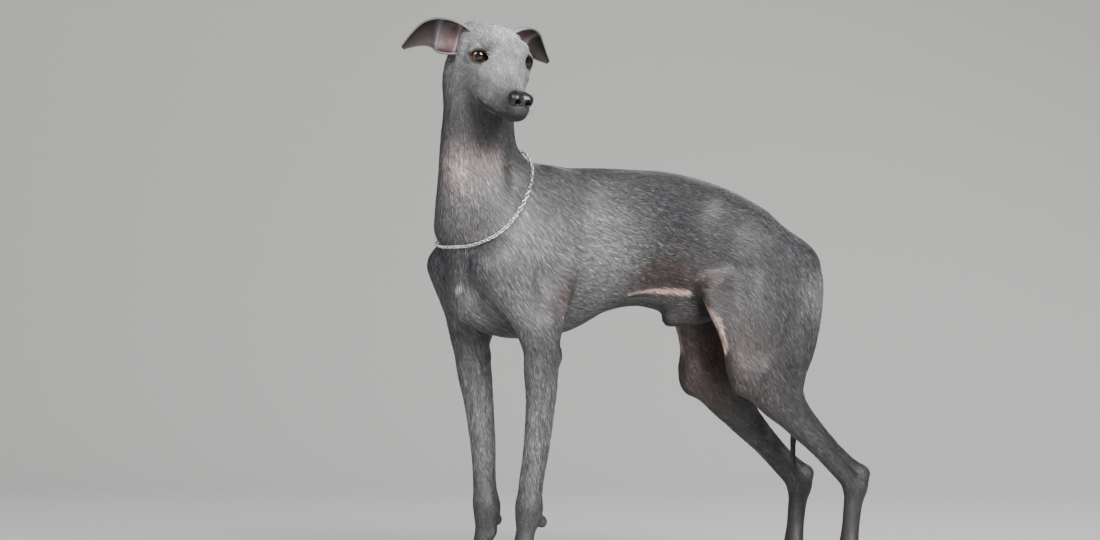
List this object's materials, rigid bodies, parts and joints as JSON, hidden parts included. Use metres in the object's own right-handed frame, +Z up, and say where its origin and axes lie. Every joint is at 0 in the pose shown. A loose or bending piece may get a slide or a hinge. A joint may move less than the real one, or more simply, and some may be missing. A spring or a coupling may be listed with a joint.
{
  "type": "dog figure",
  "caption": "Standing small sighthound, slate grey and short-haired, head turned to its left, ears folded, wearing a fine chain collar; a still life-size model.",
  "frame": {"origin": "on the floor, under the middle of the bounding box", "axes": "+Z up; -Y the way the body faces; +X the dog's left, the side its head is turned to"},
  "size_m": [0.1582, 0.4295, 0.4669],
  "materials": {
    "coat": "short glossy hair",
    "nose": "moist, glossy",
    "eye": "wet, clear",
    "chain": "polished"
  },
  "bodies": {
    "root": {"torso": "coat", "neck": "coat", "foreleg_left": "coat", "hindleg_left": "coat", "forepaw_left": "coat", "hindpaw_left": "coat", "foreleg_right": "coat", "hindleg_right": "coat", "forepaw_right": "coat", "hindpaw_right": "coat", "tail": "coat", "head": "coat", "ear_left": "coat", "ear_right": "coat", "nose": "nose", "eye_left": "eye", "eye_right": "eye", "collar_chain": "chain"}
  },
  "joints": []
}
